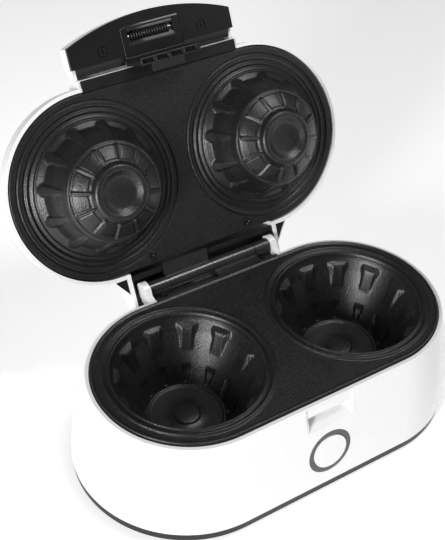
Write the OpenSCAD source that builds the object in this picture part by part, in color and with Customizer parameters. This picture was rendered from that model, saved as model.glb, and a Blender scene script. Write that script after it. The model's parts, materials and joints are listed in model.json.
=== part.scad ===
// Twin waffle-bowl maker: a hinged appliance that bakes two bowl-shaped wafers at once.
// Frame: millimetres, +Z up, +X to the right of a person facing the front, front towards -Y.
// The modules draw each piece about the middle of the base; lid pieces are drawn shut and then swung open.
// placed() then moves the origin on the table to the middle of the open appliance's depth.

/* [Overall] */
// Distance between the centres of the two bowls
bowl_spacing = 127.2; // [126:0.2:129]
// Height of the cooking surface above the table
plate_height = 79.5; // [78:0.5:84]
// Angle that the lid stands open in the stored position
lid_open = 118.4; // [100:0.1:118.4]

/* [Casing] */
// Radius of the rounded ends of the base at its top edge
shell_top_r = 65.8; // [65.4:0.1:67]
// How much wider the base is at its foot, on each side
shell_flare = 12; // [10:0.5:13]
// Wall thickness of the white casings
wall = 2.4; // [2:0.1:2.6]
// Height of the lid above the parting line
lid_height = 33; // [32:0.5:38]

/* [Mould plates] */
// Radius of the rounded ends of both mould plates
plate_r = 62.6; // [62:0.1:62.8]
// Radius of each bowl at its mouth
bowl_r = 50; // [49:0.5:50]
// Depth of each bowl
bowl_depth = 45; // [44:0.5:47]
// Height of each dome of the upper plate
dome_height = 37.5; // [35:0.5:38]
// Raised blocks round each bowl, and ribs round each dome
sectors = 12; // [10:1:12]
// Thickness of the cast plates
cast = 2.8; // [2.4:0.1:3]

/* [Hinge] */
// Distance of the hinge axis behind the middle of the base
hinge_y = 78; // [77.5:0.1:79]
// Radius of the hinge pin
pin_r = 2; // [1.5:0.1:2.2]
// Radius of the hinge knuckles
knuckle_r = 5; // [4.5:0.1:5.2]

/* [Button and latch] */
// Radius of the push-button cap
button_r = 12.6; // [11:0.1:12.6]
// Half of the width of the latch hook
latch_half = 22.2; // [20:0.1:22.4]

/* [Hidden] */
$fn = 64;

half = bowl_spacing / 2;
foot_h = 1.6;                       // clear height under the bottom cover
band_h = 7.65;                      // height of the dark band round the foot of the base
band_top = foot_h + band_h;
shell_top = plate_height - 1;       // top edge of the white base casing
parting = plate_height + 1;         // underside of the shut lid's plate
hinge_z = plate_height - 1.4;
middle_y = 51.3;                    // middle of the open appliance's depth, behind the middle of the base
steps = 12;                         // facets down the curved casing walls
terminal_angles = [-8, 8];          // where a ring heater's two terminal pins stand
plate_t = 3;                        // thickness of the flat part of the plates
skirt_h = 7;                        // height of the edge skirt of the plates

white = "white";
dark = "dimgray";
black = [0.13, 0.13, 0.14];
steel = "silver";

// ---- shared shapes ----

// A profile of [radius, height] points swept round a stadium whose ends are bowl_spacing apart.
module pill(points) {
    for (side = [-1, 1]) translate([side * half, 0, 0]) rotate([0, 0, -90 * side])
        rotate_extrude(angle = 180) polygon(points);
    for (back = [0, 1]) mirror([0, back, 0]) translate([-half, 0, 0]) rotate([90, 0, 90])
        linear_extrude(2 * half) polygon(points);
}

// Shows its children at both bowls.
module both() {
    for (side = [-1, 1]) translate([side * half, 0, 0]) children();
}

// Copies of its children in the four corners of a rectangle.
module corners(x, y) {
    for (sx = [-1, 1], sy = [-1, 1]) translate([sx * x, sy * y, 0]) children();
}

// A [y, z] outline extruded along X between two x values.
module along_x(x0, x1, points) {
    translate([x0, 0, 0]) rotate([90, 0, 90]) linear_extrude(x1 - x0) polygon(points);
}

// A round bar along X, centred on the hinge axis.
module on_hinge(x0, x1, r) {
    translate([x0, hinge_y, hinge_z]) rotate([0, 90, 0]) cylinder(r = r, h = x1 - x0);
}

// Swings shut lid pieces to the open position.
module open_lid() {
    translate([0, hinge_y, hinge_z]) rotate([-lid_open, 0, 0]) translate([0, -hinge_y, -hinge_z]) children();
}

// Moves a finished piece into the frame of the whole appliance.
module placed() {
    translate([0, -middle_y, 0]) children();
}

// A cross-head screw along -Z: the head's top at z = 0, the shank below.
module screw(head_r, head_h, shank_r, shank_l) {
    difference() {
        union() {
            translate([0, 0, -head_h]) cylinder(r = head_r, h = head_h);
            translate([0, 0, -head_h - shank_l]) cylinder(r = shank_r, h = shank_l);
        }
        for (turn = [0, 90]) rotate([0, 0, turn]) translate([0, 0, -0.5])
            cube([1.3 * head_r, 0.3 * head_r, 1.2], center = true);
    }
}

// A wire through the given points.
module wire(points, r) {
    for (i = [0 : len(points) - 2]) {
        step = points[i + 1] - points[i];
        long = norm(step);
        translate(points[i]) rotate([0, acos(step.z / long), atan2(step.y, step.x)]) cylinder(r = r, h = long);
        if (i > 0) translate(points[i]) sphere(r = r + 0.1);
    }
}

// A sheathed ring heater with two terminal pins that point down.
module ring_heater(ring_r, tube_r, pin_l) {
    rotate_extrude() translate([ring_r, 0]) circle(tube_r);
    for (a = terminal_angles) rotate([0, 0, a]) translate([0, ring_r, -pin_l]) cylinder(r = 1.6, h = pin_l);
}

// ---- base casing ----

// Outer radius of the base casing at a height.
function shell_r(z) = shell_top_r + shell_flare * (1 - pow(1 - (shell_top - z) / (shell_top - band_top), 1.6));

function shell_outline(inset, z0, z1) =
    [for (i = [0 : steps]) let (z = z0 + (z1 - z0) * i / steps) [shell_r(z) - inset, z]];

function reversed(list) = [for (i = [len(list) - 1 : -1 : 0]) list[i]];

ledge_top = plate_height - skirt_h;
screw_x = 45;
screw_y = 68.5;
lug_x0 = 49.8;                      // inner face of each hinge lug, and half of the notch between them
lug_x1 = 54.2;
lug_r = 6.6;
pin_half = 52.4;                    // half of the length of the hinge pin
slot_half = 16.3;                   // half of the width of the latch pocket
panel_half = 17.8;                  // half of the width of the sunk latch panel
slot_top = plate_height - 9;
slot_bottom = plate_height - 20.9;
pocket_y = -63.6;                   // back wall of the latch pocket
button_tilt = 9;
button_z = plate_height - 42.7;
gland_x = 18;
gland_z = 24;
gland_r = 6;
foot_x = 86;
foot_y = 58;
post_h = 22;                        // height of the screw posts

// Button frame: local +Z points straight out of the sloping front wall.
module on_button() {
    translate([0, -shell_r(button_z), button_z]) rotate([90 - button_tilt, 0, 0]) children();
}

module hinge_lug(x0) {
    along_x(x0, x0 + lug_x1 - lug_x0, [[63.4, shell_top - 1.5], [70.5, shell_top + 0.4],
        [73.2, hinge_z + 6], [78, hinge_z],
        [hinge_y, hinge_z - 8], [72.2, hinge_z - 9], [69.4, plate_height - 22], [66, plate_height - 22]]);
    on_hinge(x0, x0 + lug_x1 - lug_x0, lug_r);
}

// Solid walls round the latch pocket, inside the casing.
module latch_pocket_block() {
    block_top = slot_top + 1.4;
    block_bottom = slot_bottom - 2;
    along_x(-slot_half - 2, slot_half + 2, [[pocket_y + 2, block_top], [1 - shell_r(block_top), block_top],
        [1 - shell_r(block_bottom), block_bottom], [pocket_y + 2, slot_top - 9]]);
}

module base_shell() {
    color(white) difference() {
        union() {
            pill(concat([[shell_top_r - wall, shell_top]], [[shell_top_r, shell_top]],
                shell_outline(0, shell_top - 1, band_top),
                reversed(shell_outline(wall, shell_top - 1, band_top))));
            pill([[59, ledge_top - 2], [shell_r(ledge_top) - 1, ledge_top - 2],
                [shell_r(ledge_top) - 1, ledge_top],
                [59, ledge_top]]);
            corners(screw_x, screw_y) translate([0, 0, band_top]) cylinder(r = 5, h = post_h);
            corners(screw_x, screw_y + 3.5) translate([-1.2, -3.7, band_top]) cube([2.4, 7.4, post_h / 2]);
            latch_pocket_block();
            hinge_lug(lug_x0);
            hinge_lug(-lug_x1);
        }
        // room for the hinge bracket
        translate([-lug_x0, 60, plate_height - 18]) cube([2 * lug_x0, 40, 30]);
        // pin ends
        on_hinge(-pin_half - 0.2, pin_half + 0.2, pin_r + 0.02);
        // sunk latch panel and the pocket that the claw enters
        along_x(-panel_half, panel_half, [[-90, shell_top - 1.2], [-shell_top_r + 0.4, shell_top - 1.2],
            [0.7 - shell_r(slot_top), slot_top], [0.1 - shell_r(slot_bottom), slot_bottom],
            [-90, slot_bottom]]);
        along_x(-slot_half, slot_half, [[-90, slot_top], [pocket_y, slot_top], [pocket_y, slot_top - 6.5],
            [-shell_r(slot_bottom), slot_bottom], [-90, slot_bottom]]);
        // button opening
        on_button() cylinder(r = button_r + 4.2, h = 30, center = true);
        // gland opening
        translate([gland_x, 60, gland_z]) rotate([-90, 0, 0]) cylinder(r = gland_r, h = 30);
        // pilot holes
        corners(screw_x, screw_y) translate([0, 0, band_top - 1]) cylinder(r = 1.5, h = 18);
        // clearance of the plate's edge skirt
        pill([[0, ledge_top], [plate_r + 0.4, ledge_top], [plate_r + 0.4, plate_height + 5],
            [0, plate_height + 5]]);
    }
}

module bottom_cover() {
    color(black) difference() {
        union() {
            pill([[0, foot_h], [shell_r(band_top) - 1.8, foot_h], [shell_r(band_top) - 0.6, foot_h + 1.2],
                [shell_r(band_top) - 0.6, band_top], [shell_r(band_top) - 3.8, band_top],
                [shell_r(band_top) - 3.8, foot_h + 2.6], [0, foot_h + 2.6]]);
            corners(screw_x, screw_y - 0.5) translate([0, 0, foot_h]) cylinder(r = 5, h = band_h);
        }
        corners(screw_x, screw_y) translate([0, 0, foot_h - 1]) cylinder(r = 1.7, h = 20);
        corners(screw_x, screw_y) translate([0, 0, foot_h - 1]) cylinder(r = 3.6, h = 4);
        corners(foot_x, foot_y) translate([0, 0, foot_h - 1]) cylinder(r = 8.1, h = 2.1);
        for (side = [-1, 1], row = [-3 : 3]) translate([side * 30, row * 7, foot_h])
            cube([36, 2.4, 10], center = true);
    }
}

module rubber_feet() {
    color(dark) corners(foot_x, foot_y) difference() {
        cylinder(r = 8, h = foot_h + 1.1);
        translate([0, 0, -1]) cylinder(r = 2.5, h = 2);
    }
}

module bottom_screws() {
    color(steel) corners(screw_x, screw_y) translate([0, 0, foot_h + 0.6]) mirror([0, 0, 1])
        screw(3.2, 2.2, 1.45, 18);
}

// ---- lower mould ----

// Inner wall of a bowl as [radius, depth] points.
bowl_wall = [[bowl_r, 0], [bowl_r - 0.6, 2.5], [bowl_r * 0.9, 12], [bowl_r * 0.774, 22.5],
    [bowl_r * 0.672, 31], [bowl_r * 0.54, bowl_depth - 1.5], [bowl_r * 0.52, bowl_depth]];

function below(list, grow) = [for (p = list) [p[0] + grow, plate_height - p[1]]];

module bowl_body() {
    rotate_extrude() polygon(concat([[0, plate_height - bowl_depth - cast]],
        [[bowl_r * 0.52 + 1.6, plate_height - bowl_depth - cast]], reversed(below(bowl_wall, cast + 0.4)),
        [[0, plate_height]]));
}

module bowl_hollow() {
    difference() {
        rotate_extrude() polygon(concat([[0, plate_height + 1]], [[bowl_r, plate_height + 1]],
            below(bowl_wall, 0), [[0, plate_height - bowl_depth]]));
        for (i = [0 : sectors - 1]) rotate([0, 0, i * 360 / sectors]) upper_block();
        translate([0, 0, plate_height - bowl_depth - 1]) cylinder(r = 9, h = 3);
    }
    for (i = [0 : sectors - 1]) rotate([0, 0, i * 360 / sectors]) lower_pocket();
}

// A tall block on the upper wall of the bowl, with a sloping top ledge.
module upper_block() {
    translate([0, 5, plate_height]) rotate([90, 0, 0]) linear_extrude(10)
        polygon([[49.5, -5], [43.9, -7.2], [38.4, -23], [52, -23]]);
}

// A tapering pocket in the lower wall of the bowl.
module lower_pocket() {
    translate([0, 0, plate_height]) intersection() {
        rotate([90, 0, 0]) linear_extrude(10, center = true)
            polygon([[30, -31.2], [33.4, -31.2], [35, -32.2], [29.3, -42.8], [25, -42.8], [25, -40]]);
        rotate([0, 90, 0]) linear_extrude(40) polygon([[31, -3.6], [31, 3.6], [43, 1.3], [43, -1.3]]);
    }
}

module lower_mould_plate() {
    color(black) difference() {
        union() {
            pill([[0, plate_height - plate_t], [plate_r - 2.6, plate_height - plate_t],
                [plate_r - 2.6, ledge_top + 0.2], [plate_r, ledge_top + 0.2], [plate_r, plate_height + 0.4],
                [plate_r - 0.6, plate_height + 0.9], [plate_r - 1.6, plate_height + 0.9],
                [plate_r - 2.2, plate_height], [0, plate_height]]);
            both() bowl_body();
            both() rotate_extrude() polygon([[bowl_r + 2, plate_height - 1], [bowl_r + 7.6, plate_height - 1],
                [bowl_r + 7, plate_height + 0.5], [bowl_r + 5.6, plate_height + 1.3],
                [bowl_r + 4, plate_height + 1.3], [bowl_r + 2.8, plate_height + 0.5]]);
            both() rotate_extrude() polygon([[bowl_r - 0.5, plate_height - 1],
                [bowl_r + 1.6, plate_height - 1],
                [bowl_r + 1.2, plate_height + 0.6], [bowl_r, plate_height + 0.6]]);
            corners(boss_x, boss_y) translate([0, 0, shield_z + 0.9])
                cylinder(r = 4, h = plate_height - 2 - shield_z);
        }
        both() bowl_hollow();
        corners(boss_x, boss_y) translate([0, 0, shield_z]) cylinder(r = 1.5, h = 13);
    }
}

heater_r = 54.4;
heater_tube = 2.8;

module lower_heater(side) {
    color(steel) translate([side * half, 0, plate_height - plate_t - heater_tube - 0.1])
        ring_heater(heater_r, heater_tube, 20);
}

boss_x = 8;
boss_y = 48;
shield_z = plate_height - 16.8;     // underside of the shield's deck

// Sheet-metal reflector: a deck with a rim, and a cup round each bowl.
module lower_heat_shield() {
    deck = shield_z + 0.8;
    floor = plate_height - bowl_depth - 7;
    cup = [[53, deck], [47, plate_height - 22.5], [41.6, plate_height - 31], [34.4, plate_height - 44],
        [32.4, floor]];
    color(steel) difference() {
        union() {
            pill([[0, shield_z], [58.6, shield_z], [58.6, ledge_top - 3], [57.8, ledge_top - 3], [57.8, deck],
                [0, deck]]);
            both() rotate_extrude() polygon(concat([[0, deck]], cup, [[0, floor]]));
        }
        both() rotate_extrude() polygon(concat([[0, deck + 1], [52.2, deck + 1]],
            [for (p = cup) [p[0] - 0.8, p[1] + 0.01]],
            [[31.6, floor + 0.8], [0, floor + 0.8]]));
        corners(boss_x, boss_y) translate([0, 0, shield_z - 1]) cylinder(r = 1.8, h = 4);
        translate([0, 0, shield_z - 1]) cylinder(r = 10, h = 4);
        both() for (a = terminal_angles) rotate([0, 0, a]) translate([0, heater_r, shield_z - 20])
            cylinder(r = 3, h = 24);
    }
}

// Screws that hold the heat shield to the plate.
module plate_screws() {
    color(steel) corners(boss_x, boss_y) translate([0, 0, shield_z - 1.9]) mirror([0, 0, 1])
        screw(3.4, 1.8, 1.45, 11);
}

// ---- electrical pieces in the base ----

module thermostat() {
    color(steel) {
        translate([0, 0, plate_height - plate_t - 6.1]) cylinder(r = 5.8, h = 6);
        translate([0, 0, plate_height - plate_t - 10]) cylinder(r = 5, h = 4);
        for (y = [-4, 4]) translate([-0.4, y - 2, plate_height - plate_t - 16]) cube([0.8, 4, 6.5]);
    }
}

module thermal_fuse() {
    color(steel) translate([0, 20, plate_height - plate_t - 2.6]) rotate([-90, 0, 0]) {
        cylinder(r = 2.2, h = 14);
        translate([0, 0, -5]) cylinder(r = 0.6, h = 24);
    }
}

block_at = [44, 30, foot_h + 2.6];

module terminal_block() {
    color("ivory") translate([block_at.x - 14, block_at.y - 8, block_at.z]) difference() {
        cube([28, 16, 13]);
        for (i = [0 : 2]) translate([5 + 9 * i, 8, 5]) cylinder(r = 2.2, h = 10);
    }
}

// Insulated wires: from the gland to the terminals, and from the terminals to the switch and the heaters.
module base_wires() {
    color("firebrick") {
        wire([[16.4, 68, 24], [16.4, 56, 22], [35, 52, 14], [35, 39.5, 11]], 1.2);
        wire([[35, 20.5, 11], [35, 8, 14], [7, -30, 16], [6, -45, 30]], 1.2);
    }
    color("royalblue") {
        wire([[20, 68, 24], [20, 60, 22], [53, 56, 14], [53, 39.5, 11]], 1.2);
        wire([[53, 20.5, 11], [53, 14, 21], [4, 6, 22], [4, 0, 50], [4, 0, 58]], 1.2);
    }
}

module cord_gland() {
    color(black) translate([gland_x, shell_r(gland_z), gland_z]) rotate([-90, 0, 0]) difference() {
        union() {
            translate([0, 0, -5]) cylinder(r = gland_r - 0.2, h = 6);
            translate([0, 0, 0.8]) cylinder(r = gland_r + 2.5, h = 2.2);
            translate([0, 0, -8]) cylinder(r = gland_r + 2, h = 3.4);
        }
        translate([0, 0, -10]) cylinder(r = 3.6, h = 20);
    }
}

// ---- push button ----

bezel_r = button_r + 4;

module button_bezel() {
    color(dark) on_button() difference() {
        union() {
            translate([0, 0, -9]) cylinder(r = bezel_r, h = 8.6);
            translate([0, 0, -9]) cylinder(r = bezel_r + 3, h = 3);
        }
        translate([0, 0, -7]) cylinder(r = button_r + 0.3, h = 10);
        translate([0, 0, -10]) cylinder(r = 3.3, h = 10);
    }
}

module button_cap() {
    color(white) on_button() {
        translate([0, 0, -2.4]) cylinder(r = button_r, h = 2.6);
        translate([0, 0, -13]) cylinder(r = 3, h = 11);
    }
}

module button_spring() {
    color(steel) on_button() for (i = [0 : 3]) translate([0, 0, -6.4 + i * 1.1])
        rotate_extrude() translate([5, 0]) circle(0.4);
}

module power_switch() {
    color(black) on_button() difference() {
        translate([-10, -7, -27]) cube([20, 14, 17.8]);
        translate([0, 0, -16]) cylinder(r = 3.3, h = 20);
    }
}

// ---- hinge ----

leaf_x0 = -33.2;
leaf_x1 = 1.7;
axis_gap = 0.3;
leaf_screw_x = [-26, -6];
leaf_screw_y = 71;
bracket_screw_x = [-40, 40];
bracket_screw_y = 69.3;
strip_top = plate_height + 4.4;     // strip of the hinge frame that the leaf is screwed to

// Fixed knuckles on a deck that fills the notch in the back of the base casing.
module hinge_bracket() {
    deck = plate_height - 6;
    color(black) difference() {
        union() {
            along_x(-lug_x0 + 0.2, lug_x0 - 0.2, [[63.4, deck - 3], [63.4, plate_height - 1],
                [65.6, plate_height - 1],
                [65.6, deck], [73, deck], [73, deck - 3], [72, deck - 3], [70, plate_height - 18],
                [67.4, plate_height - 18], [67.4, deck - 3]]);
            for (span = [[-lug_x0 + 0.2, leaf_x0 - axis_gap], [leaf_x1 + axis_gap, 36.5],
                [37, lug_x0 - 0.2]]) {
                on_hinge(span[0], span[1], knuckle_r);
                along_x(span[0], span[1], [[72.5, deck - 3], [hinge_y + 2, deck - 3],
                    [hinge_y + knuckle_r, hinge_z - 3], [hinge_y + knuckle_r, hinge_z], [72.5, hinge_z]]);
            }
            along_x(leaf_x1 + axis_gap, 36.5, [[65, plate_height - 3.4], [hinge_y, plate_height - 4.4],
                [hinge_y, plate_height - 1.6], [65, plate_height - 1.4]]);
        }
        on_hinge(-60, 60, pin_r + 0.02);
        for (x = bracket_screw_x) translate([x, bracket_screw_y, deck - 8]) cylinder(r = 1.6, h = 10);
    }
}

module bracket_screws() {
    color(steel) for (x = bracket_screw_x) translate([x, bracket_screw_y, plate_height - 4.4])
        screw(2.8, 1.5, 1.45, 6);
}

module hinge_pin() {
    color(steel) on_hinge(-pin_half, pin_half, pin_r);
}

// ---- lid ----

lid_r = shell_top_r + 0.2;          // end radius of the lid at the parting line
arm_x0 = 58.3;
arm_x1 = 60.3;
handle_half = 61;
handle_floor = plate_height + 5;    // underside of the white handle housing
handle_top = plate_height + 17;
handle_screw_x = [-37.5, 37.5];
handle_screw_y = -84.7;
lid_screw_x = [-39.4, 39.4];        // screws that hold the upper plate
lid_screw_y = 57.4;
upper_heater_r = 49;

// Curved wall of the lid as [radius, height above the parting line] points, upright at the rim and flat on top.
function lid_outline(inset) = [for (i = [0 : steps]) let (a = 90 * i / steps)
    [lid_r - inset - 26 * (1 - cos(a)), plate_height + 7 + (lid_height - 7 - inset) * sin(a)]];

// Plan outline of the handle: straight sides and a bowed front.
module handle_plan(grow) {
    bow_r = 165;
    intersection() {
        translate([0, bow_r - 103.5 - grow]) circle(bow_r, $fn = 200);
        translate([-handle_half - grow, -110]) square([2 * (handle_half + grow), 50]);
    }
}

// Side outline of the hump that covers the hinge, as [y, z] points.
function hump(inset) = [[60, plate_height + 0.2 - inset], [89, plate_height + 0.2 - inset],
    [92.5 - inset, plate_height + 3], [93.5 - inset, plate_height + 8],
    [91 - inset * 0.8, plate_height + 14 - inset * 0.5],
    [84 - inset * 0.4, plate_height + 19.5 - inset], [74, plate_height + 22.5 - inset],
    [60, plate_height + 24 - inset]];

// Fills the corner between the lid and an arm of the hump, less the inset on its open sides.
module corner_web(side, inset, z0, z1) {
    translate([0, 0, z0]) linear_extrude(z1 - z0) polygon([[side * (arm_x1 - 1 + 2 * inset), 64 + 2.3 * inset],
        [side * (72.5 - 2.2 * inset), 64 + 2.3 * inset], [side * (arm_x1 - 1 + 2 * inset), 81 - 3 * inset]]);
}

module lid_shell_body() {
    pill(concat([[0, plate_height + 0.5], [lid_r, plate_height + 0.5]],
        lid_outline(0), [[0, plate_height + lid_height]]));
    along_x(-arm_x1, arm_x1, hump(0));
    for (side = [-1, 1]) corner_web(side, 0, plate_height + 0.4, plate_height + 9);
    translate([0, 0, handle_floor]) linear_extrude(handle_top - handle_floor) handle_plan(0);
    translate([-handle_half, -71, plate_height + 1])
        cube([2 * handle_half, 11, handle_top - plate_height - 1]);
}

module lid_shell() {
    color(white) open_lid() difference() {
        lid_shell_body();
        pill(concat([[0, plate_height - 1], [lid_r - wall, plate_height - 1]], lid_outline(wall),
            [[0, plate_height + lid_height - wall]]));
        along_x(-arm_x0, arm_x0, hump(2));
        for (side = [-1, 1]) corner_web(side, 1, plate_height - 1, plate_height + 6.2);
        translate([0, 0, handle_floor - 1]) linear_extrude(handle_top - handle_floor - 1) difference() {
            handle_plan(-wall);
            translate([-80, -70]) square([160, 20]);
        }
        for (x = handle_screw_x) translate([x, handle_screw_y, handle_floor - 1]) cylinder(r = 1.5, h = 9);
    }
    color(white) open_lid() for (x = handle_screw_x) translate([x, handle_screw_y, handle_floor])
        difference() {
        cylinder(r = 3.6, h = handle_top - handle_floor - 1);
        translate([0, 0, -1]) cylinder(r = 1.5, h = 9);
    }
}

// Outer surface of a dome as [radius, depth below the plate] points: its tiered side, and its dished nose.
dome_side = [[44.6, -0.6], [43, 0.8], [40.8, 6], [37, 14.5], [33.6, 21.4], [31.7, 25.6], [27.2, 28.6],
    [20.2, 33]];
dome_nose = [[19.4, dome_height - 1.8], [17.4, dome_height], [15.4, dome_height], [11.5, dome_height - 2.8],
    [10, dome_height - 3.2], [0, dome_height - 3.2]];

function hanging(list, inset) = [for (p = list) [p[0] - inset, parting - p[1] + inset * 0.7]];

module dome_solid() {
    rotate_extrude() polygon(concat([[0, parting + 8], [44.6, parting + 8]], hanging(dome_side, 0),
        hanging(dome_nose, 0)));
}

module dome_hollow() {
    rotate_extrude() polygon(concat([[0, parting + 9], [44.6 - cast, parting + 9]], hanging(dome_side, cast),
        [[0, parting - 33 + cast * 0.7]]));
}

// Ribs that part the dome into sectors: broad on the lower tier and thin on the upper tier.
module dome_ribs() {
    for (i = [0 : sectors - 1]) rotate([0, 0, (i + 0.5) * 360 / sectors]) translate([0, 0, parting]) {
        rotate([90, 0, 0]) linear_extrude(2.4, center = true)
            polygon([[43.6, -0.4], [42, -6.4], [34.8, -21.6], [32, -21.6], [40, -0.4]]);
        rotate([90, 0, 0]) linear_extrude(1, center = true)
            polygon([[32.2, -25.8], [28, -29.6], [20.4, -34.4], [19, -30], [30, -24]]);
    }
}

module upper_mould_plate() {
    color(black) open_lid() difference() {
        union() {
            pill([[0, parting], [plate_r, parting],
                [plate_r, parting + skirt_h], [plate_r - 2.6, parting + skirt_h],
                [plate_r - 2.6, parting + plate_t], [0, parting + plate_t]]);
            both() dome_solid();
            both() dome_ribs();
        }
        both() dome_hollow();
        both() rotate_extrude() polygon([[bowl_r + 2, parting - 1], [bowl_r + 8, parting - 1],
            [bowl_r + 7.2, parting + 1.2], [bowl_r + 3, parting + 1.2]]);
        for (x = lid_screw_x) translate([x, lid_screw_y, parting - 1]) cylinder(r = 1.7, h = 20);
        for (x = lid_screw_x) translate([x, lid_screw_y, parting - 1]) cylinder(r = 3.4, h = 2);
    }
}

module upper_heater(side) {
    color(steel) open_lid() translate([side * half, 0, parting + plate_t + heater_tube + 0.2])
        mirror([0, 0, 1])
        ring_heater(upper_heater_r, heater_tube, 10);
}

module upper_heat_shield() {
    color(steel) open_lid() difference() {
        pill([[0, parting + 17.2], [50, parting + 17.2], [54, parting + 13], [54, parting + 5],
            [54.8, parting + 5],
            [54.8, parting + 13.4], [50.4, parting + 18], [0, parting + 18]]);
        both() for (a = terminal_angles) rotate([0, 0, a]) translate([0, upper_heater_r, parting])
            cylinder(r = 2.6, h = 30);
    }
}

module lid_fuse() {
    color(steel) open_lid() translate([0, -8, parting + plate_t + 2.6]) rotate([-90, 0, 0]) {
        cylinder(r = 2.2, h = 14);
        translate([0, 0, -5]) cylinder(r = 0.6, h = 24);
    }
}

module lid_plate_screws() {
    color(dark) open_lid() for (x = lid_screw_x) translate([x, lid_screw_y, parting + 0.2]) mirror([0, 0, 1])
        screw(3.1, 0.7, 1.5, 10);
}

// Moving knuckle and its flange.
module lid_hinge_leaf() {
    color(black) open_lid() difference() {
        union() {
            on_hinge(leaf_x0, leaf_x1, knuckle_r);
            along_x(leaf_x0, leaf_x1, [[64.4, plate_height - 0.4], [hinge_y, plate_height - 0.4],
                [hinge_y, plate_height + 1.8], [64.4, plate_height + 1.8]]);
        }
        on_hinge(-60, 60, pin_r + 0.06);
        for (x = leaf_screw_x) translate([x, leaf_screw_y, plate_height + 0.1]) cylinder(r = 1.55, h = 12);
    }
}

module leaf_screws() {
    color(steel) open_lid() for (x = leaf_screw_x) translate([x, leaf_screw_y, strip_top + 1.2])
        screw(2.4, 1.2, 1.5, 4.2);
}

// Dark lining of the hinge hump: two cheeks, a roof and the strip that the leaf is screwed to.
module hinge_frame() {
    cheek = [[66.4, plate_height + 1], [86.5, plate_height + 1], [90.1, plate_height + 4],
        [91, plate_height + 8],
        [88.6, plate_height + 12.6], [82.6, plate_height + 17], [74, plate_height + 19.8],
        [66.4, plate_height + 20.4]];
    color(black) open_lid() difference() {
        union() {
            for (x = [-arm_x0 + 0.2, arm_x0 - 1.2]) along_x(x, x + 1, cheek);
            along_x(-arm_x0 + 0.2, arm_x0 - 0.2, [[66.4, plate_height + 18.6], [74, plate_height + 18],
                [82.2, plate_height + 15.4], [88, plate_height + 11.4], [88.6, plate_height + 12.6],
                [82.6, plate_height + 17], [74, plate_height + 19.8], [66.4, plate_height + 20.4]]);
            along_x(-arm_x0 + 0.2, arm_x0 - 0.2, [[66.4, plate_height + 1.9], [70, plate_height + 1.9],
                [70, strip_top], [68.4, strip_top], [68.4, plate_height + 19], [66.4, plate_height + 19]]);
            along_x(leaf_x0, leaf_x1, [[69, plate_height + 1.9], [73.4, plate_height + 1.9], [73.4, strip_top],
                [69, strip_top]]);
        }
        for (x = leaf_screw_x) translate([x, leaf_screw_y, plate_height]) cylinder(r = 1.55, h = 7);
    }
}

// Dark caps in the corners between the lid and the hinge hump.
module corner_caps() {
    color(black) open_lid() for (side = [-1, 1]) corner_web(side, 1.1, plate_height + 1.4, plate_height + 3.4);
}

// Dark strip along the front of the lid, between the plate and the handle.
module front_trim() {
    low = plate_height - 0.3;
    back_top = plate_height + 0.5;
    front_top = plate_height + 1;
    color(black) open_lid() along_x(2 - handle_half, handle_half - 2, [[-63, low], [-63, back_top],
        [-66.1, back_top], [-66.1, front_top], [-70.6, front_top], [-70.6, low]]);
}

// ---- handle and latch ----

latch_y = -89.5;
latch_z = plate_height + 7;
latch_pin_r = 1.5;
ear_x = 18;

module handle_cover() {
    color(black) open_lid() difference() {
        union() {
            translate([0, 0, handle_floor - 2.5]) linear_extrude(2.5) difference() {
                handle_plan(0.8);
                translate([-80, -78]) square([160, 30]);
            }
            along_x(-58, 58, [[-78.2, handle_floor - 2.5], [-72.4, handle_floor - 0.3], [-72.4, handle_floor],
                [-78.2, handle_floor]]);
            for (x = [-31, 28]) translate([x, latch_y - 3, handle_floor - 1]) cube([3, 6, 8.5]);
        }
        translate([-latch_half - 0.4, -97, handle_floor - 5]) cube([2 * latch_half + 0.8, 30, 8]);
        translate([-50, latch_y, latch_z]) rotate([0, 90, 0]) cylinder(r = latch_pin_r + 0.02, h = 100);
        for (x = handle_screw_x) translate([x, handle_screw_y, handle_floor - 4]) cylinder(r = 1.7, h = 6);
        for (x = handle_screw_x) translate([x, handle_screw_y, handle_floor - 4]) cylinder(r = 3.6, h = 2.6);
    }
}

module handle_screws() {
    color(dark) open_lid() for (x = handle_screw_x) translate([x, handle_screw_y, handle_floor - 2.3])
        mirror([0, 0, 1]) screw(3, 0.9, 1.4, 8);
}

module latch_pin() {
    color(steel) open_lid() translate([-31, latch_y, latch_z]) rotate([0, 90, 0])
        cylinder(r = latch_pin_r, h = 62);
}

// Coils of the latch spring round its pin.
module latch_spring() {
    color(dark) open_lid() translate([0, latch_y, latch_z]) rotate([0, 90, 0]) for (i = [-11 : 11])
        translate([0, 0, i * 1.35]) rotate_extrude() translate([3.1, 0]) circle(0.6);
}

// Rocking latch: a thumb panel under the handle, a hook plate that hangs in front of the base, and its claw.
module latch_lever() {
    panel_z = plate_height + 2.6;
    hook_end = plate_height - 19.5;
    color(black) open_lid() difference() {
        union() {
            translate([-latch_half, -96, panel_z]) cube([2 * latch_half, 20, 2]);
            translate([-latch_half, -76.2, hook_end]) cube([2 * latch_half, 4.9, panel_z + 2 - hook_end]);
            along_x(-12.4, 12.4, [[-72, plate_height - 14.5], [-65.4, plate_height - 12.6],
                [-64.4, plate_height - 10.2], [-72, plate_height - 10.2]]);
            for (x = [-ear_x - 3, ear_x]) {
                translate([x, latch_y, latch_z]) rotate([0, 90, 0]) cylinder(r = 3.4, h = 3);
                translate([x, latch_y - 3.4, panel_z + 1]) cube([3, 6.8, latch_z - panel_z - 1]);
            }
        }
        translate([-ear_x + 0.5, -94.8, panel_z - 1]) cube([2 * ear_x - 1, 10.4, 4]);
        translate([-40, latch_y, latch_z]) rotate([0, 90, 0]) cylinder(r = latch_pin_r + 0.06, h = 80);
        for (i = [0 : 3]) translate([-latch_half + 1.2 + i * 10.6, -75.2, hook_end - 1]) cube([9.6, 3, 4]);
    }
}

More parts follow.
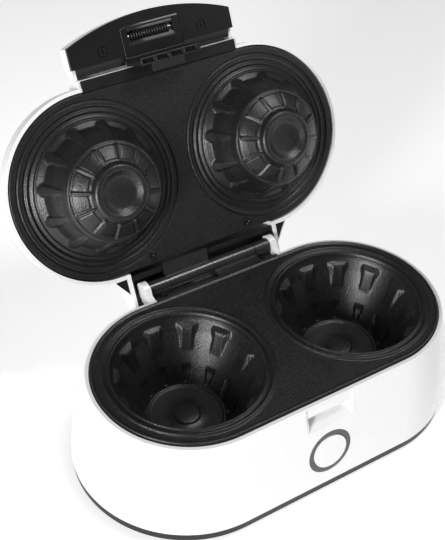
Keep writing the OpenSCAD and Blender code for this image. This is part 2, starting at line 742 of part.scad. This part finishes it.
placed() base_shell();
placed() bottom_cover();
placed() rubber_feet();
placed() bottom_screws();
placed() lower_mould_plate();
placed() lower_heater(-1);  // lower_heater_left
placed() lower_heater(1);  // lower_heater_right
placed() lower_heat_shield();
placed() plate_screws();
placed() thermostat();
placed() thermal_fuse();
placed() terminal_block();
placed() base_wires();
placed() cord_gland();
placed() button_bezel();
placed() button_spring();
placed() power_switch();
placed() hinge_bracket();
placed() bracket_screws();
placed() hinge_pin();
placed() button_cap();
placed() lid_shell();
placed() upper_mould_plate();
placed() upper_heater(-1);  // upper_heater_left
placed() upper_heater(1);  // upper_heater_right
placed() upper_heat_shield();
placed() lid_fuse();
placed() lid_hinge_leaf();
placed() leaf_screws();
placed() hinge_frame();
placed() corner_caps();
placed() front_trim();
placed() lid_plate_screws();
placed() handle_cover();
placed() handle_screws();
placed() latch_pin();
placed() latch_spring();
placed() latch_lever();
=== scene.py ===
"""Looks of an open twin waffle-bowl maker: finer meshes, materials, light and camera round the CAD frame."""
import json
import math

import bmesh
import bpy
import numpy as np
from mathutils import Matrix, Vector


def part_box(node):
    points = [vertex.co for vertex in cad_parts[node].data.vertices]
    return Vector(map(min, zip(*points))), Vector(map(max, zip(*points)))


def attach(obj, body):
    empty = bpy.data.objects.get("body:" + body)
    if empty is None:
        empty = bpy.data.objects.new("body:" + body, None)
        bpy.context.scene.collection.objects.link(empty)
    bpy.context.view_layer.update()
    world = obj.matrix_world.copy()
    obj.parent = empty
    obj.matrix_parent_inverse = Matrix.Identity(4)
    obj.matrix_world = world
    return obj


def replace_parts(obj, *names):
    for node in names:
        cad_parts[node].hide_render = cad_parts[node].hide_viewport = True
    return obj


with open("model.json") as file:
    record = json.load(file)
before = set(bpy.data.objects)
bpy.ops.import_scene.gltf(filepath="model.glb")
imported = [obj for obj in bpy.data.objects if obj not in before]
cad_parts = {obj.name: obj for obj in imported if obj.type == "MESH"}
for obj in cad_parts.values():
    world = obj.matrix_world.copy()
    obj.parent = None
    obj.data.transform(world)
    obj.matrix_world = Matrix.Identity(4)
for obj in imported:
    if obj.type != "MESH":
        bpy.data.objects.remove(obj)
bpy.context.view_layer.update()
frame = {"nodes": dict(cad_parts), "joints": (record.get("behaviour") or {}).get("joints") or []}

MM = 0.001
SECTORS = 12                                         # blocks and pockets round each bowl
SECTOR = 2 * math.pi / SECTORS
PER_SECTOR = 24                                      # mesh points along each sector

# ---- places taken from the frame, in millimetres ----


def box_mm(node):
    """Lowest and highest corners of a CAD node, in millimetres."""
    low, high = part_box(node)
    return [v / MM for v in low], [v / MM for v in high]


plate_low, plate_high = box_mm("lower_mould_plate")
heater_low, heater_high = box_mm("lower_heater_right")
HALF = (heater_low[0] + heater_high[0]) / 2          # from the middle to each bowl's centre
MID_Y = (plate_low[1] + plate_high[1]) / 2           # middle of the base, front to back
PLATE_R = (plate_high[1] - plate_low[1]) / 2         # radius of the plates' rounded ends
BEAD = 1.3                                           # height of the sealing bead
PLATE_TOP = plate_high[2] - BEAD
PARTING = PLATE_TOP + 1.0                            # face of the shut lid's plate
RELIEF_R = 58.6                                      # each round mould, with its rings
LID_JOINT = next(joint for joint in frame["joints"] if joint["name"] == "lid_hinge")
HINGE = Vector(LID_JOINT["pos_m"])
OPEN = math.radians(LID_JOINT["range_deg"][1])
LID_OPEN = Matrix.Translation(HINGE) @ Matrix.Rotation(-OPEN, 4, "X") @ Matrix.Translation(-HINGE)

# ---- materials ----


def node_material(name):
    """A new node material: the material, its node tree and its surface shader."""
    material = bpy.data.materials.new(name)
    material.use_nodes = True
    tree = material.node_tree
    return material, tree, tree.nodes["Principled BSDF"]


def noise(tree, scale, detail=4.0, stretch=(1, 1, 1)):
    """Noise over the object's own coordinates, in cells per metre."""
    coords = tree.nodes.new("ShaderNodeTexCoord")
    mapping = tree.nodes.new("ShaderNodeMapping")
    mapping.inputs["Scale"].default_value = stretch
    texture = tree.nodes.new("ShaderNodeTexNoise")
    texture.inputs["Scale"].default_value = scale
    texture.inputs["Detail"].default_value = detail
    tree.links.new(coords.outputs["Object"], mapping.inputs["Vector"])
    tree.links.new(mapping.outputs["Vector"], texture.inputs["Vector"])
    return texture.outputs["Fac"]


def spread(tree, value, low, high):
    """The value's middle range stretched to run from low to high."""
    node = tree.nodes.new("ShaderNodeMapRange")
    node.inputs["From Min"].default_value = 0.08
    node.inputs["From Max"].default_value = 0.7
    node.inputs["To Min"].default_value = low
    node.inputs["To Max"].default_value = high
    tree.links.new(value, node.inputs["Value"])
    return node.outputs["Result"]


def blend_colours(tree, value, first, second):
    """A colour that runs from first to second as the value rises."""
    node = tree.nodes.new("ShaderNodeValToRGB")
    node.color_ramp.elements[0].position = 0.35
    node.color_ramp.elements[0].color = (*first, 1)
    node.color_ramp.elements[1].position = 0.65
    node.color_ramp.elements[1].color = (*second, 1)
    tree.links.new(value, node.inputs["Fac"])
    return node.outputs["Color"]


def bump(tree, shader, value, depth, strength=0.6):
    """Presses a height pattern into the surface; depth in metres."""
    node = tree.nodes.new("ShaderNodeBump")
    node.inputs["Strength"].default_value = strength
    node.inputs["Distance"].default_value = depth
    tree.links.new(value, node.inputs["Height"])
    tree.links.new(node.outputs["Normal"], shader.inputs["Normal"])


def moulded(name, dark, light, rough, grain, depth, coat=0.0, metallic=0.0, stretch=(1, 1, 1), shine=0.5):
    """A moulded, cast or drawn surface: cloudy colour, uneven gloss and a fine grain."""
    material, tree, shader = node_material(name)
    cloud = noise(tree, 45, 3)
    fine = noise(tree, grain, 6, stretch)
    tree.links.new(blend_colours(tree, fine, dark, light), shader.inputs["Base Color"])
    tree.links.new(spread(tree, cloud, *rough), shader.inputs["Roughness"])
    shader.inputs["Metallic"].default_value = metallic
    shader.inputs["Specular IOR Level"].default_value = shine
    shader.inputs["Coat Weight"].default_value = coat
    shader.inputs["Coat Roughness"].default_value = 0.08
    bump(tree, shader, fine, depth)
    return material


def grey(value, warm=0.0):
    """A nearly neutral colour."""
    return (value * (1 + warm), value, value * (1 - warm))


WHITE = moulded("glossy_white", grey(0.80, 0.004), grey(0.84, 0.002), (0.16, 0.26), 700, 0.000004, coat=0.35)
BLACK = moulded("black_moulding", grey(0.005), grey(0.011), (0.36, 0.48), 1500, 0.00003, shine=0.35)
GLOSS_BLACK = moulded("satin_black_panel", grey(0.006), grey(0.010), (0.26, 0.36), 1300, 0.00002, shine=0.4)
BAND = moulded("black_foot_band", grey(0.006), grey(0.010), (0.35, 0.45), 1200, 0.00002, shine=0.35)
TRIM = moulded("dark_trim", grey(0.06), grey(0.08), (0.32, 0.42), 1400, 0.00002)
RUBBER = moulded("rubber", grey(0.02), grey(0.035), (0.7, 0.85), 900, 0.00004)
COATED = moulded("nonstick_casting", grey(0.003), grey(0.020), (0.28, 0.38), 1000, 0.0004, shine=0.55)
HEATER = moulded("heater_sheath", grey(0.30), grey(0.42), (0.42, 0.55), 500, 0.00002, metallic=1.0)
SHEET = moulded("pressed_sheet", grey(0.50), grey(0.60), (0.28, 0.42), 260, 0.00001, metallic=1.0,
                stretch=(1, 12, 1))
PLATED = moulded("plated_screw", grey(0.52, 0.03), grey(0.62, 0.02), (0.25, 0.38), 600, 0.00001, metallic=1.0)
BLACKENED = moulded("blackened_screw", grey(0.02), grey(0.045), (0.3, 0.42), 900, 0.00002, metallic=0.7)
POWDER = moulded("powder_coated_metal", grey(0.012), grey(0.026), (0.24, 0.34), 1300, 0.00006, coat=0.2,
                 shine=0.6)
DRAWN = moulded("drawn_wire", grey(0.42), grey(0.55), (0.22, 0.34), 700, 0.00001, metallic=1.0,
                stretch=(1, 6, 6))
NYLON = moulded("nylon", (0.78, 0.75, 0.66), (0.84, 0.81, 0.72), (0.4, 0.5), 800, 0.00001)
SLEEVE = moulded("silicone_sleeve", (0.30, 0.05, 0.04), (0.40, 0.07, 0.05), (0.5, 0.6), 700, 0.00002)

NODE_FINISH = {
    "base_shell": WHITE, "lid_shell": WHITE, "button_cap": WHITE, "bottom_cover": BAND, "rubber_feet": RUBBER,
    "bottom_screws": PLATED, "lower_heater_left": HEATER, "lower_heater_right": HEATER,
    "upper_heater_left": HEATER, "upper_heater_right": HEATER, "lower_heat_shield": SHEET,
    "upper_heat_shield": SHEET, "plate_screws": PLATED, "thermostat": SHEET, "thermal_fuse": SHEET,
    "lid_fuse": SHEET, "terminal_block": NYLON, "base_wires": SLEEVE, "cord_gland": BLACK,
    "button_bezel": TRIM,
    "button_spring": DRAWN, "power_switch": BLACK, "hinge_bracket": POWDER, "bracket_screws": BLACKENED,
    "hinge_pin": DRAWN, "lid_hinge_leaf": POWDER, "leaf_screws": BLACKENED, "hinge_frame": BLACK,
    # corner_caps are black pieces set in the lid's triangular corner hollows: partly dark plastic, partly
    # painted shade for the dark inside of those hollows.
    # front_trim is a black strip between the handle and the lid plate: partly a dark strip, partly painted
    # shade for the recess under the lid's front edge.
    "corner_caps": BLACK, "front_trim": BLACK, "lid_plate_screws": BLACKENED, "handle_cover": GLOSS_BLACK,
    "handle_screws": BLACKENED,
    "latch_pin": DRAWN, "latch_lever": GLOSS_BLACK,
}
EDGE_RADIUS = {
    "base_shell": 0.5, "lid_shell": 0.6, "button_cap": 0.5, "button_bezel": 0.4, "bottom_cover": 0.4,
    "handle_cover": 0.5, "latch_lever": 0.35, "hinge_bracket": 0.4, "lid_hinge_leaf": 0.4, "hinge_frame": 0.3,
    "cord_gland": 0.3, "rubber_feet": 0.4, "front_trim": 0.3,
}


def finish_node(name, material):
    """Paints a CAD node and rounds its edges."""
    node = frame["nodes"][name]
    node.data.materials.clear()
    node.data.materials.append(material)
    weld = node.modifiers.new("join faces", "WELD")
    weld.merge_threshold = 0.00001
    if name in EDGE_RADIUS:
        bevel = node.modifiers.new("round edges", "BEVEL")
        bevel.width = EDGE_RADIUS[name] * MM
        bevel.segments = 2
        bevel.limit_method = "ANGLE"
        bevel.angle_limit = math.radians(28)
        normals = node.modifiers.new("even shading", "WEIGHTED_NORMAL")
        normals.keep_sharp = False


# ---- mesh building; every shape is drawn in millimetres ----


def add_piece(name, parts, material, body, place=Matrix.Identity(4)):
    """Joins (vertices, faces) parts into one object that rides on a CAD body."""
    vertices = []
    faces = []
    for part_vertices, part_faces in parts:
        start = len(vertices)
        vertices.extend(part_vertices)
        faces.extend([start + i for i in face] for face in part_faces)
    mesh = bpy.data.meshes.new(name)
    mesh.from_pydata(vertices, [], faces)
    mesh.transform(place @ Matrix.Scale(MM, 4))
    mesh.materials.append(material)
    mesh.shade_smooth()
    piece = bpy.data.objects.new(name, mesh)
    bpy.context.scene.collection.objects.link(piece)
    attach(piece, body)
    return piece


def grid_faces(rows, columns, closed=True):
    """Quads over rows of equal length; closed rows meet their own start."""
    last = columns if closed else columns - 1
    return [[r * columns + c, r * columns + (c + 1) % columns, (r + 1) * columns + (c + 1) % columns,
             (r + 1) * columns + c] for r in range(rows - 1) for c in range(last)]


def relief(centre_x, base_z, radii, height):
    """A round sheet at centre_x whose height over base_z is height(radius, angle)."""
    angles = np.arange(PER_SECTOR * SECTORS) * SECTOR / PER_SECTOR
    radius, angle = np.meshgrid(radii, angles, indexing="ij")
    z = base_z + height(radius, angle)
    x = centre_x + radius * np.cos(angle)
    y = MID_Y + radius * np.sin(angle)
    vertices = np.stack([x.ravel(), y.ravel(), z.ravel()], axis=1).tolist()
    faces = grid_faces(len(radii), len(angles))
    faces.append(list(range(len(angles)))[::-1])
    return vertices, faces


def pill_sweep(outline):
    """(radius, z) points swept round a stadium."""
    arc = np.radians(np.arange(-90, 90.1, 3))
    turns = [(1, a) for a in arc] + [(-1, math.pi + a) for a in arc]
    vertices = [(side * HALF + r * math.cos(a), MID_Y + r * math.sin(a), z)
                for r, z in outline for side, a in turns]
    return vertices, grid_faces(len(outline), len(turns))


def circle_points(x, y, z, radius, count):
    """Points round a level circle."""
    turns = [2 * math.pi * i / count for i in range(count)]
    return [(x + radius * math.cos(turn), y + radius * math.sin(turn), z) for turn in turns]


def deck(z, outer_r, holes):
    """A flat stadium with round holes, each (x, y, radius, points)."""
    shape = bmesh.new()
    rim, _ = pill_sweep([(outer_r, z)])
    for loop in [rim] + [circle_points(x, y, z, radius, count) for x, y, radius, count in holes]:
        corners = [shape.verts.new(point) for point in loop]
        for a, b in zip(corners, corners[1:] + corners[:1]):
            shape.edges.new((a, b))
    bmesh.ops.triangle_fill(shape, use_beauty=True, edges=shape.edges[:], normal=(0, 0, 1))
    shape.verts.index_update()
    vertices = [tuple(v.co) for v in shape.verts]
    faces = [[v.index for v in face.verts] for face in shape.faces]
    shape.free()
    return vertices, faces


def soft(value, edge):
    """0 below zero, 1 above edge, smooth between."""
    t = np.clip(value / edge, 0, 1)
    return t * t * (3 - 2 * t)


def ridge(radius, centre, half_width, height):
    """A rounded ring."""
    t = np.clip(np.abs(radius - centre) / half_width, 0, 1)
    return height * np.cos(t * math.pi / 2) ** 2


def profile(radius, points):
    """Height read off an outline of (radius, height) points."""
    return np.interp(radius, [p[0] for p in points], [p[1] for p in points])


def across(radius, angle, offset):
    """Distance along the ring from the nearest sector line; offset is in sectors."""
    turn = (angle / SECTOR - offset + 0.5) % 1 - 0.5
    return np.abs(turn) * SECTOR * radius


# ---- lower plate: two bowls ----

BOWL_WALL = [(0, -43.4), (8.4, -43.4), (9.6, -45), (24.2, -45), (25.2, -44.2), (26.2, -44.4), (27, -43.3),
             (33.6, -31), (38.7, -22.5), (45, -12), (49.2, -3), (50, 0), (60, 0)]
BLOCK_TOP = [(38.2, -23.4), (43.6, -8.0), (44.6, -6.9), (49.5, -5)]


def bowl_height(radius, angle):
    """Height of the lower mould over the plate."""
    wall = profile(radius, BOWL_WALL)
    half_block = profile(radius, [(38.4, 4.4), (43.9, 4.8), (46.6, 7.4)])
    on_block = soft(half_block - across(radius, angle, 0), 1.0) * (radius < 50)
    raised = np.maximum(profile(radius, BLOCK_TOP) - wall, 0) * on_block * (radius > 38)
    half_pocket = profile(radius, [(27, 1.5), (33.6, 3.8)])
    in_pocket = soft(half_pocket - across(radius, angle, 0), 1.0)
    in_pocket = in_pocket * soft(radius - 27.4, 0.8) * soft(33.6 - radius, 0.8)
    rings = ridge(radius, 50.9, 1.0, 0.8) + ridge(radius, 55.3, 2.0, BEAD) - ridge(radius, 52.7, 0.9, 0.5)
    return wall + raised - 2.8 * in_pocket + rings


BOWL_RADII = np.concatenate([[2, 8, 8.6, 9.2, 9.8, 16, 23.6], np.arange(24.2, 28, 0.35),
                             np.arange(28, 50, 0.45), np.arange(50, RELIEF_R, 0.3), [RELIEF_R]])


def lower_plate():
    """The fixed casting, with its bowls, sealing beads and raised rim."""
    holes = [(side * HALF, MID_Y, RELIEF_R, PER_SECTOR * SECTORS) for side in (-1, 1)]
    rim_in = PLATE_R - 2.4
    rim = [(rim_in, 0), (rim_in + 0.3, 0.1), (rim_in + 0.9, 0.75), (rim_in + 1.4, 0.9), (PLATE_R - 0.5, 0.85),
           (PLATE_R - 0.1, 0.55), (PLATE_R, 0), (PLATE_R, -6.6), (rim_in, -6.6)]
    parts = [relief(side * HALF, PLATE_TOP, BOWL_RADII, bowl_height) for side in (-1, 1)]
    parts.append(deck(PLATE_TOP, rim_in, holes))
    parts.append(pill_sweep([(r, PLATE_TOP + z) for r, z in rim]))
    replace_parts(add_piece("lower_plate_casting", parts, COATED, "base"), "lower_mould_plate")


# ---- upper plate: two domes ----

DOME_WALL = [(0, 34.2), (9.4, 34.2), (11.2, 34.9), (14.8, 37.2), (16.2, 37.5), (17.6, 37.2), (18.8, 36.2),
             (19.6, 33.2), (20.4, 32.4), (27.2, 28.4), (31.2, 25.6), (33.6, 22.2), (37.4, 15.5), (41.6, 6.8),
             (44.6, 1.4), (45.8, 0), (60, 0)]
CELL_WALL = [(34.2, 20.5), (38, 12), (40.4, 4.8), (41.0, 3.6), (45.4, 0.9)]


def dome_height(radius, angle):
    """Height of the upper mould over the shut lid's plate face: the dome hangs below it."""
    wall = profile(radius, DOME_WALL)
    from_rib = across(radius, angle, 0.5)
    high_tier = soft(radius - 20.2, 0.6) * soft(31.4 - radius, 0.8)
    blade = soft(1.05 - from_rib, 0.5) * high_tier * 2.3
    cell_edge = profile(radius, [(35, 1.3), (40.6, 3.2), (41.6, 3.5), (45.2, 1.3)])
    cell_depth = np.maximum(wall - profile(radius, CELL_WALL), 0) * (radius > 34.2)
    cell = soft(from_rib - cell_edge, 0.7) * cell_depth
    band = ridge(radius, 32.9, 2.0, 1.7)
    pad = soft(from_rib - 1.2, 0.9) * soft(radius - 21.4, 0.8) * soft(30.8 - radius, 0.8) * 0.5
    rings = ridge(radius, 46.8, 0.9, 0.5)
    grooves = ridge(radius, 49.0, 1.5, 1.0) + ridge(radius, 52.6, 1.7, 1.3) + ridge(radius, 55.3, 2.6, 0.5)
    grooves = grooves + ridge(radius, 57.6, 1.0, 1.1)
    return grooves - (wall - cell + blade + band + pad + rings)


DOME_RADII = np.concatenate([[2, 9, 10, 11, 12, 13, 14], np.arange(14.6, 20, 0.4), np.arange(20, 45.6, 0.4),
                             np.arange(45.6, RELIEF_R, 0.3), [RELIEF_R]])


def upper_plate():
    """The lid's casting, with its domes, seal grooves and screw recesses."""
    head_r = 3.1
    recess_r = 3.4
    recess_depth = 1.2
    screw_x = box_mm("lid_plate_screws")[1][0] - head_r
    screw_y = MID_Y + 57.4
    screws = [(side * screw_x, screw_y, recess_r, 32) for side in (-1, 1)]
    holes = [(side * HALF, MID_Y, RELIEF_R, PER_SECTOR * SECTORS) for side in (-1, 1)] + screws
    rim_in = PLATE_R - 1.2
    rim = [(rim_in, 0), (PLATE_R - 0.4, 0.05), (PLATE_R - 0.1, 0.2), (PLATE_R, 0.5), (PLATE_R, 6.8),
           (rim_in, 6.8)]
    parts = [relief(side * HALF, PARTING, DOME_RADII, dome_height) for side in (-1, 1)]
    parts.append(deck(PARTING, rim_in, holes))
    parts.append(pill_sweep([(r, PARTING + z) for r, z in rim]))
    for x, y, radius, count in screws:
        mouth = circle_points(x, y, PARTING, radius, count)
        floor_ring = circle_points(x, y, PARTING + recess_depth, radius, count)
        parts.append((mouth + floor_ring, grid_faces(2, count)))
    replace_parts(add_piece("upper_plate_casting", parts, COATED, "lid", LID_OPEN), "upper_mould_plate")


# ---- latch spring ----


def helix(radius, wire_r, half_length, turns, sides=8, steps=16):
    """A coil along X, drawn about the origin."""
    vertices = []
    count = turns * steps
    for i in range(count + 1):
        a = 2 * math.pi * i / steps
        x = -half_length + 2 * half_length * i / count
        for k in range(sides):
            b = 2 * math.pi * k / sides
            r = radius + wire_r * math.cos(b)
            vertices.append((x + wire_r * math.sin(b), r * math.cos(a), r * math.sin(a)))
    return vertices, grid_faces(count + 1, sides)


def latch_coil():
    """The latch's torsion spring as a real coil."""
    low, high = box_mm("latch_spring")
    place = Matrix.Translation([(a + b) / 2 * MM for a, b in zip(low, high)])
    wire_r = 0.7
    clearance = 0.1                                  # keeps the coil inside the box of its CAD rings
    radius = (high[2] - low[2]) / 2 - wire_r - clearance
    coil = helix(radius, wire_r, (high[0] - low[0]) / 2 - wire_r, 15)
    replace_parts(add_piece("latch_coil", [coil], GLOSS_BLACK, "lid", place), "latch_spring")


# ---- stage ----


def floor():
    """A large pale floor."""
    mesh = bpy.data.meshes.new("floor")
    size = 6                                         # half of the floor's width, in metres
    corners = [(-size, -size, 0), (size, -size, 0), (size, size, 0), (-size, size, 0)]
    mesh.from_pydata(corners, [], [[0, 1, 2, 3]])
    paper = moulded("pale_floor", grey(0.88), grey(0.90), (0.6, 0.7), 60, 0.00001)
    shader = paper.node_tree.nodes["Principled BSDF"]
    shader.inputs["Emission Color"].default_value = (1, 1, 1, 1)
    shader.inputs["Emission Strength"].default_value = 0.42
    mesh.materials.append(paper)
    piece = bpy.data.objects.new("floor", mesh)
    bpy.context.scene.collection.objects.link(piece)


def softbox(name, place, target, size, power):
    """A rectangular area light at place, aimed at target."""
    light = bpy.data.lights.new(name, "AREA")
    light.shape = "RECTANGLE"
    light.size, light.size_y = size
    light.energy = power
    lamp = bpy.data.objects.new(name, light)
    lamp.location = place
    lamp.rotation_euler = (Vector(target) - Vector(place)).to_track_quat("-Z", "Y").to_euler()
    bpy.context.scene.collection.objects.link(lamp)


def studio():
    """Soft light from the left and from above, a weak fill from the right and a dim white surround."""
    middle = (0, 0, 0.1)
    softbox("key_left", (-1.15, -0.62, 0.5), middle, (0.32, 0.5), 19)
    softbox("overhead", (0.42, -0.2, 1.25), middle, (0.4, 0.3), 6.5)
    softbox("fill_right", (1.2, -0.7, 0.8), middle, (0.9, 0.7), 2.5)
    world = bpy.data.worlds.new("studio")
    world.use_nodes = True
    surround = world.node_tree.nodes["Background"]
    surround.inputs["Color"].default_value = (1, 1, 1, 1)
    surround.inputs["Strength"].default_value = 0.08
    bpy.context.scene.world = world
    bpy.context.scene.view_settings.view_transform = "Standard"


def camera():
    """A slightly rolled view from the front left, well above the table."""
    azimuth = math.radians(-34.39)
    elevation = math.radians(41.65)
    roll = math.radians(3.35)
    place = Matrix.Translation((-0.3161, -0.4526, 0.5862))
    lens = bpy.data.cameras.new("camera")
    lens.lens = 72.06
    lens.sensor_width = 36
    view = bpy.data.objects.new("camera", lens)
    turn = Matrix.Rotation(azimuth, 4, "Z") @ Matrix.Rotation(math.pi / 2 - elevation, 4, "X")
    view.matrix_world = place @ turn @ Matrix.Rotation(roll, 4, "Z")
    bpy.context.scene.collection.objects.link(view)
    bpy.context.scene.camera = view


camera()
lower_plate()
upper_plate()
latch_coil()
for node_name, node_finish in NODE_FINISH.items():
    finish_node(node_name, node_finish)
floor()
studio()
